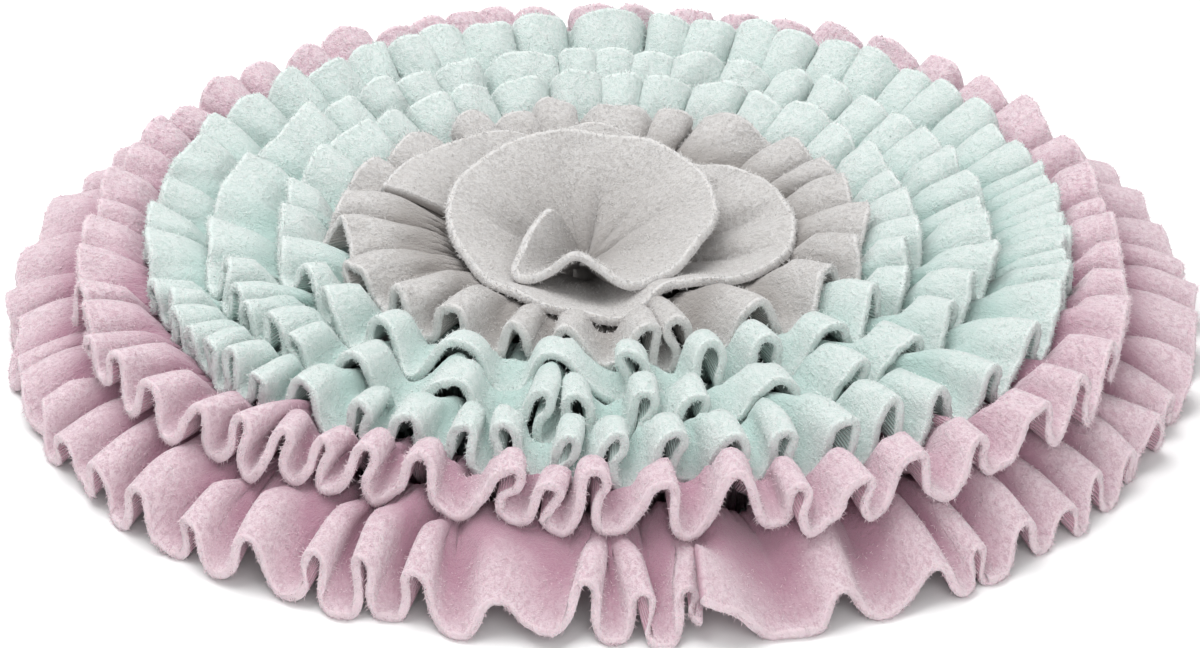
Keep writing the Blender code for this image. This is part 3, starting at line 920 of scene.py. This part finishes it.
mintOuter = {
    "node": "frill_mint_outer", "colour": "mint", "seed": 13,
    "rootRadius": 0.112, "edgeHeight": 0.0309,
    "early": 0.22, "rootFold": 0.22, "lobe": 0.0015, "step": 0.0025,
    "around": (
        (0, -0.0008, -0.0015, 0.011, 0.7), (60, 0.003, 0.0065, 0.008, 0.55),
        (90, 0.0035, 0.005, 0.008, 0.5), (130, 0.0025, 0.003, 0.008, 0.55),
        (180, -0.0008, -0.0015, 0.011, 0.7), (225, 0, 0, 0.02, 1.25),
        (270, 0.0005, 0, 0.023, 1.3), (315, 0, 0, 0.02, 1.2),
    ),
    "start": (60.0, -1.0), "end": (418.8, -1.0),
    "runs": (
        (65.6, 1, 0.0115, 0.1, 0.146), (71.1, 1, 0.012, 0.1, 0.147),
        (77.5, 1, 0.0115, 0.1, 0.146), (83.2, 1, 0.011, 0, 0.146),
        (93.8, 1, 0.0125, 0, 0.147), (101.9, 1, 0.0115, 0.05, 0.145),
        (109, 1, 0.012, -0.1, 0.145), (114.1, 1, 0.011, 0, 0.145),
        (119.4, 1, 0.012, 0, 0.145), (126.2, 1, 0.0115, -0.1, 0.144),
        (155.6, 4, 0.012, -0.3, 0.144), (169, 1, 0.012, -0.7, 0.143),
        (175.6, 1, 0.01, -0.8, 0.143), (182.7, 1, 0.0105, -0.85, 0.143),
        (195.9, 1, 0.012, -0.85, 0.143), (200.5, 1, 0.0105, -0.9, 0.142),
        (205, 1, 0.011, -0.95, 0.142), (209.5, 1, 0.011, -0.95, 0.142),
        (214, 1, 0.0115, -0.9, 0.142), (218.5, 1, 0.012, -0.8, 0.142),
        (222.5, 1, 0.012, -0.6, 0.142), (227.2, 1, 0.013, 0, 0.141),
        (236.9, 1, 0.015, -0.3, 0.14), (250, 2, 0.014, 0.1, 0.14),
        (256.8, 1, 0.014, 0.1, 0.141), (263, 1, 0.015, -0.45, 0.141),
        (266.9, 1, 0.0155, 0.85, 0.143), (273, 1, 0.015, 0.75, 0.144),
        (280.1, 1, 0.015, 0.7, 0.145), (288, 1, 0.014, 0.4, 0.148),
        (292.6, 1, 0.014, 0.5, 0.15), (306, 2, 0.014, 0.6, 0.152),
        (314.8, 1, 0.0145, 0.2, 0.152), (321.5, 1, 0.013, 0.6, 0.152),
        (331.8, 1, 0.012, 0.8, 0.151), (343.2, 1, 0.011, 0.85, 0.15),
        (349.5, 1, 0.0095, 0.85, 0.149), (376, 8, 0.0075, 0.8, 0.148),
        (387.6, 2, 0.01, 0.75, 0.147), (418.8, 5, 0.0115, 0.4, 0.147),
    ),
}
makeFrill(mintOuter)

pinkInner = {
    "node": "frill_pink_inner", "colour": "pink", "seed": 12,
    "rootRadius": 0.131, "edgeHeight": 0.0284,
    "early": 0.24, "rootFold": 0.22, "lobe": 0.0020, "step": 0.0030,
    "around": (
        (0, -0.0008, -0.0015, 0.011, 0.75), (60, 0.002, 0.001, 0.008, 0.6),
        (90, 0.003, 0.001, 0.008, 0.55), (120, 0.0025, 0.001, 0.008, 0.6),
        (180, -0.0008, -0.005, 0.011, 0.75), (215, 0, -0.001, 0.015, 1.35),
        (270, 0.0005, 0, 0.0225, 1.4), (315, 0, 0, 0.02, 1.2),
    ),
    "start": (95.0, -1.0), "end": (453.8, -1.0),
    "runs": (
        (100.5, 1, 0.012, 0, 0.163), (105.3, 1, 0.012, 0, 0.164),
        (108.9, 1, 0.011, 0, 0.163), (113, 1, 0.012, 0, 0.164),
        (118.6, 1, 0.0125, -0.1, 0.164), (126, 1, 0.0125, -0.15, 0.164),
        (159, 5, 0.0125, -0.4, 0.165), (165.2, 1, 0.011, -0.8, 0.166),
        (173.4, 1, 0.0115, -0.8, 0.165), (177.5, 1, 0.0095, -0.85, 0.165),
        (185.2, 1, 0.0115, -0.85, 0.166), (194, 1, 0.012, -0.9, 0.167),
        (198.5, 1, 0.011, -0.9, 0.167), (204.8, 1, 0.0125, -0.9, 0.168),
        (209.5, 1, 0.012, -0.9, 0.17), (215.1, 1, 0.013, -0.7, 0.17),
        (222.2, 1, 0.014, -0.3, 0.169), (228.1, 1, 0.014, 0.05, 0.167),
        (232.4, 1, 0.014, 0.1, 0.165), (241.3, 2, 0.014, 0.3, 0.162),
        (246.9, 1, 0.014, 0.35, 0.159), (255, 1, 0.0145, 0, 0.159),
        (261.1, 1, 0.015, 1.05, 0.161), (265.8, 1, 0.0155, 0.85, 0.162),
        (271.2, 1, 0.015, 0.55, 0.163), (279, 1, 0.0145, 0.4, 0.165),
        (287.4, 1, 0.015, 0.15, 0.169), (290.4, 1, 0.013, 0.55, 0.173),
        (296.6, 1, 0.014, 0.7, 0.175), (303.9, 1, 0.014, 0.45, 0.175),
        (311.4, 1, 0.0145, 0.45, 0.175), (319.5, 1, 0.014, 0.65, 0.176),
        (325.4, 1, 0.013, 0.8, 0.176), (333.6, 1, 0.0125, 0.85, 0.173),
        (343.3, 1, 0.0115, 0.9, 0.169), (350, 1, 0.011, 0.9, 0.166),
        (355.5, 1, 0.0105, 0.9, 0.165), (363.6, 1, 0.011, 0.9, 0.165),
        (367.2, 1, 0.009, 0.85, 0.165), (375.5, 1, 0.011, 0.85, 0.166),
        (382.6, 1, 0.011, 0.8, 0.168), (393.1, 1, 0.012, 0.7, 0.169),
        (422, 4, 0.0125, 0.4, 0.167), (429, 1, 0.0125, 0.15, 0.165),
        (435.4, 1, 0.012, 0, 0.164), (441.8, 1, 0.0125, 0, 0.164),
        (447.2, 1, 0.012, 0, 0.164), (453.8, 1, 0.012, 0, 0.163),
    ),
}
makeFrill(pinkInner)

pinkOuter = {
    "node": "frill_pink_outer", "colour": "pink", "seed": 11,
    "rootRadius": 0.149, "edgeHeight": 0.0072,
    "early": 0.25, "rootFold": 0.62, "lobe": 0.0045, "step": 0.0040,
    "around": (
        (0, -0.0008, -0.0045, 0.012, 0.8), (40, 0, -0.004, 0.012, 0.8),
        (90, 0, -0.001, 0.012, 0.8), (155, 0, -0.0045, 0.012, 0.8),
        (180, -0.0008, -0.008, 0.012, 0.8), (205, 0, -0.0045, 0.013, 1.1),
        (225, 0.0005, 0, 0.014, 1.5), (258, 0.001, 0, 0.0155, 1.6),
        (278, 0, 0, 0.0155, 1.4), (300, -0.0015, -0.001, 0.0145, 1.4),
        (325, -0.0008, -0.005, 0.013, 1.1),
    ),
    "start": (278.7, 0.8), "end": (638.9, -0.5), "startLift": 0.0030,
    "runs": (
        (287.1, 0.5, 0.0135, 0, 0.194), (294.3, 1, 0.0095, 0.2, 0.196),
        (302.4, 1, 0.0085, 0.53, 0.195), (305.6, 1, 0.0125, 0.6, 0.195),
        (312.2, 1, 0.0085, 0.57, 0.195), (317.2, 1, 0.0105, 0.65, 0.195),
        (322, 1, 0.0105, 0.75, 0.195), (327.4, 1, 0.0105, 0.85, 0.194),
        (339, 2, 0.011, 0.85, 0.193), (345.4, 1, 0.011, 0.85, 0.192),
        (354.4, 1, 0.0115, 0.85, 0.192), (360.9, 1, 0.011, 0.85, 0.192),
        (365, 1, 0.0095, 0.85, 0.192), (373.1, 1, 0.011, 0.85, 0.193),
        (380.4, 1, 0.011, 0.8, 0.195), (387.6, 1, 0.011, 0.8, 0.196),
        (440, 8, 0.011, 0.5, 0.192), (500, 9, 0.012, -0.1, 0.19),
        (519.4, 3, 0.012, -0.4, 0.191), (531.2, 1, 0.0115, -0.7, 0.193),
        (541.1, 1, 0.0115, -0.85, 0.193), (546, 1, 0.0095, -0.85, 0.192),
        (554.5, 1, 0.011, -0.85, 0.191), (557.2, 1, 0.008, -0.85, 0.19),
        (564.4, 1, 0.011, -0.85, 0.19), (569.4, 1, 0.011, -0.8, 0.19),
        (576.4, 1, 0.0115, -0.7, 0.19), (582.3, 1, 0.0125, -0.55, 0.19),
        (589.7, 1, 0.014, -0.45, 0.19), (595.4, 1, 0.012, -0.6, 0.191),
        (602.6, 1, 0.0135, -0.45, 0.191), (607.5, 1, 0.016, -0.45, 0.189),
        (611.6, 1, 0.015, -0.37, 0.188), (617.7, 1, 0.0145, -0.36, 0.19),
        (625.8, 1, 0.006, -0.2, 0.191), (631.3, 1, 0.0125, 0.15, 0.189),
        (635.3, 1, 0.013, 0.35, 0.19), (638.1, 0.5, 0.013, 0, 0.19),
    ),
}
makeFrill(pinkOuter)

studio = {
    "elevation": 28.65, "distance": 1.30, "lens": 120.48, "sensor": 36.0,
    "shift": (0.00167, -0.00417),
    "floorSize": 6.0, "floorColour": (0.96, 0.96, 0.96), "floorRoughness": 0.9, "world": 0.38,
    # place, size and power
    "lamps": {
        "soft top": ((-0.40, 0.50, 1.4), 1.5, 30.0),
        "front fill": ((0.35, -1.6, 0.8), 1.6, 15.0),
    },
}


def makeStudio():
    scene = bpy.context.scene
    scene.view_settings.view_transform = "Standard"
    lift = math.radians(studio["elevation"])
    camera = bpy.data.cameras.new("camera")
    camera.lens = studio["lens"]
    camera.sensor_width = studio["sensor"]
    camera.shift_x, camera.shift_y = studio["shift"]
    viewer = bpy.data.objects.new("camera", camera)
    viewer.location = (0, -studio["distance"] * math.cos(lift), studio["distance"] * math.sin(lift))
    viewer.rotation_euler = (math.pi / 2 - lift, 0, 0)
    scene.collection.objects.link(viewer)
    scene.camera = viewer

    world = bpy.data.worlds.new("studio")
    world.use_nodes = True
    background = world.node_tree.nodes["Background"]
    background.inputs["Color"].default_value = (1.0, 1.0, 1.0, 1.0)
    background.inputs["Strength"].default_value = studio["world"]
    scene.world = world

    for name, (place, size, power) in studio["lamps"].items():
        light = bpy.data.lights.new(name, "AREA")
        light.size = size
        light.energy = power
        lamp = bpy.data.objects.new(name, light)
        lamp.location = place
        lamp.rotation_euler = (-Vector(place)).to_track_quat("-Z", "Y").to_euler()
        scene.collection.objects.link(lamp)

    bpy.ops.object.select_all(action="DESELECT")
    bpy.ops.mesh.primitive_plane_add(size=studio["floorSize"], location=(0, 0, 0))
    floor = bpy.context.object
    floor.name = "floor"
    paper = bpy.data.materials.new("paper")
    paper.use_nodes = True
    shader = paper.node_tree.nodes["Principled BSDF"]
    shader.inputs["Base Color"].default_value = (*studio["floorColour"], 1.0)
    shader.inputs["Roughness"].default_value = studio["floorRoughness"]
    floor.data.materials.append(paper)
    print("studio made")


makeStudio()

bpy.context.view_layer.update()
